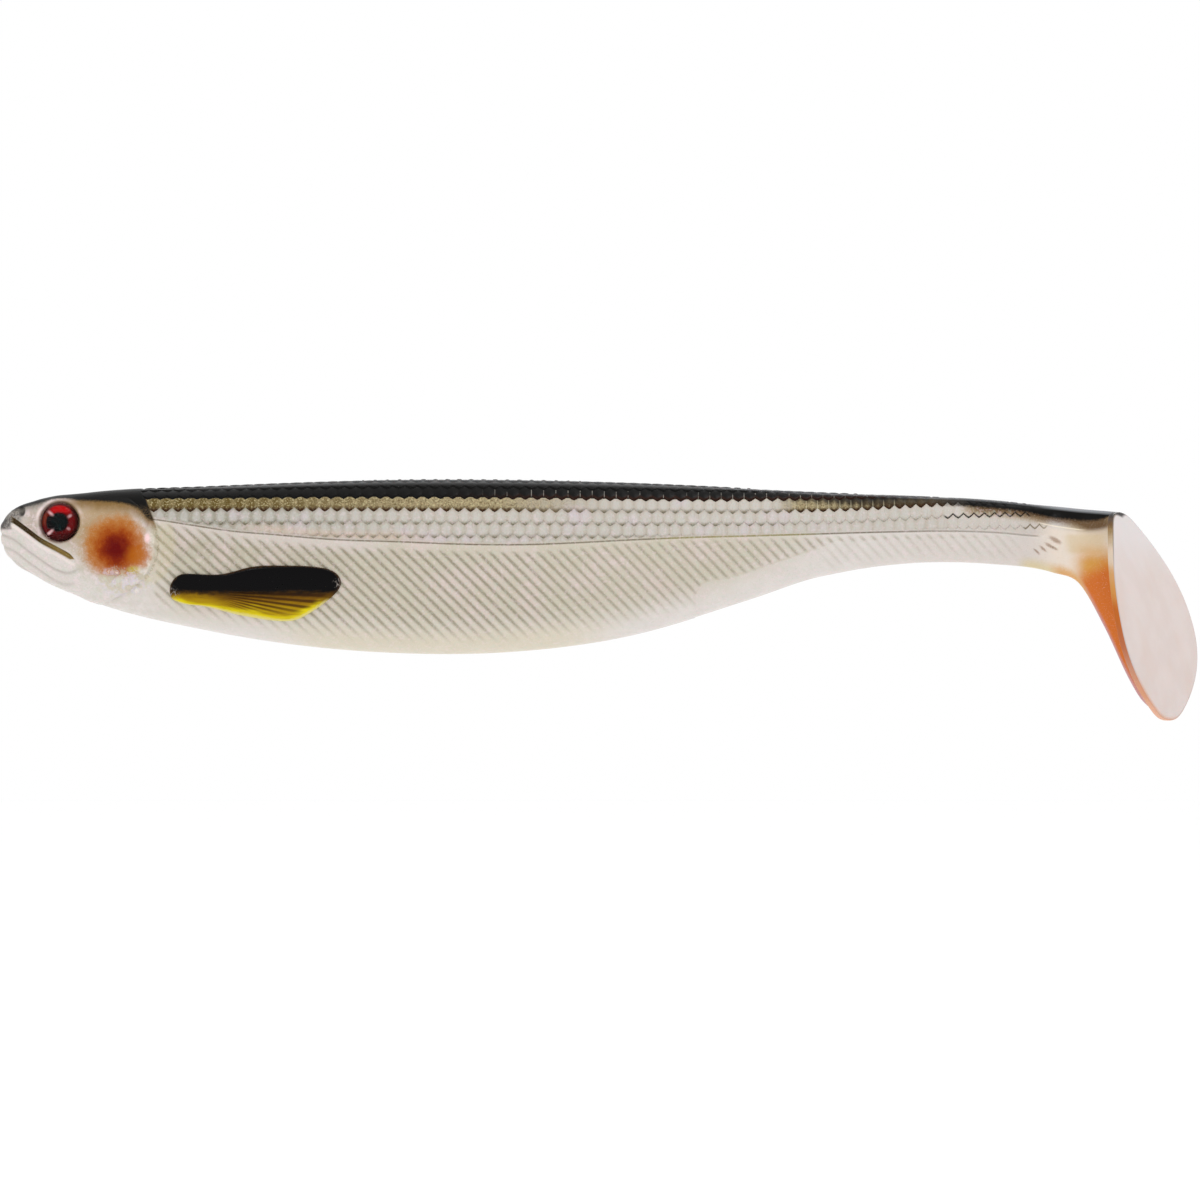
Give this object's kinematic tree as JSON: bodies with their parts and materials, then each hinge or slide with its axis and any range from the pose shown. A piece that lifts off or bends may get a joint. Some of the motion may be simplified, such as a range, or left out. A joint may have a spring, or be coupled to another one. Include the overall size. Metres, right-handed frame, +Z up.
{
  "type": "paddle-tail swimbait",
  "caption": "Soft-plastic fishing lure shaped like a slim baitfish, with domed eyes, pectoral fins and a kicking paddle tail.",
  "frame": {"origin": "tip of the nose, where a jig head's collar meets the bait", "axes": "+X from the nose to the tail, +Z up through the back, and the fish's left side faces -Y"},
  "size_m": [0.2202, 0.0335, 0.0443],
  "materials": {
    "casting": "satin",
    "tail_tint": "satin",
    "fin_paint": "gloss",
    "eye_foil": "gloss",
    "eye_dome": "gloss"
  },
  "bodies": {
    "front": {"head": "casting", "front_trunk": "casting", "left_pectoral_fin": "fin_paint", "right_pectoral_fin": "fin_paint", "left_eye_foil": "eye_foil", "left_eye_dome": "eye_dome", "right_eye_foil": "eye_foil", "right_eye_dome": "eye_dome"},
    "middle": {"mid_trunk": "casting"},
    "rear": {"rear_trunk": "casting"},
    "stem": {"tail_stem": "casting"},
    "tail": {"tail_web": "tail_tint", "tail_paddle": "casting"}
  },
  "joints": [
    {"name": "front_flex", "type": "hinge", "parent": "front", "child": "middle", "pos_m": [0.096, 0, 0], "axis": [0, 0, 1], "range_deg": [-14, 14], "stiffness_Nm_per_rad": 0.03},
    {"name": "rear_flex", "type": "hinge", "parent": "middle", "child": "rear", "pos_m": [0.134, 0, 0], "axis": [0, 0, 1], "range_deg": [-22, 22], "stiffness_Nm_per_rad": 0.008},
    {"name": "stem_flex", "type": "hinge", "parent": "rear", "child": "stem", "pos_m": [0.167, 0, 0], "axis": [0, 0, 1], "range_deg": [-32, 32], "stiffness_Nm_per_rad": 0.0015},
    {"name": "tail_kick", "type": "hinge", "parent": "stem", "child": "tail", "pos_m": [0.1935, 0, 0], "axis": [0, 0, 1], "range_deg": [-25, 85], "stiffness_Nm_per_rad": 0.0008}
  ]
}
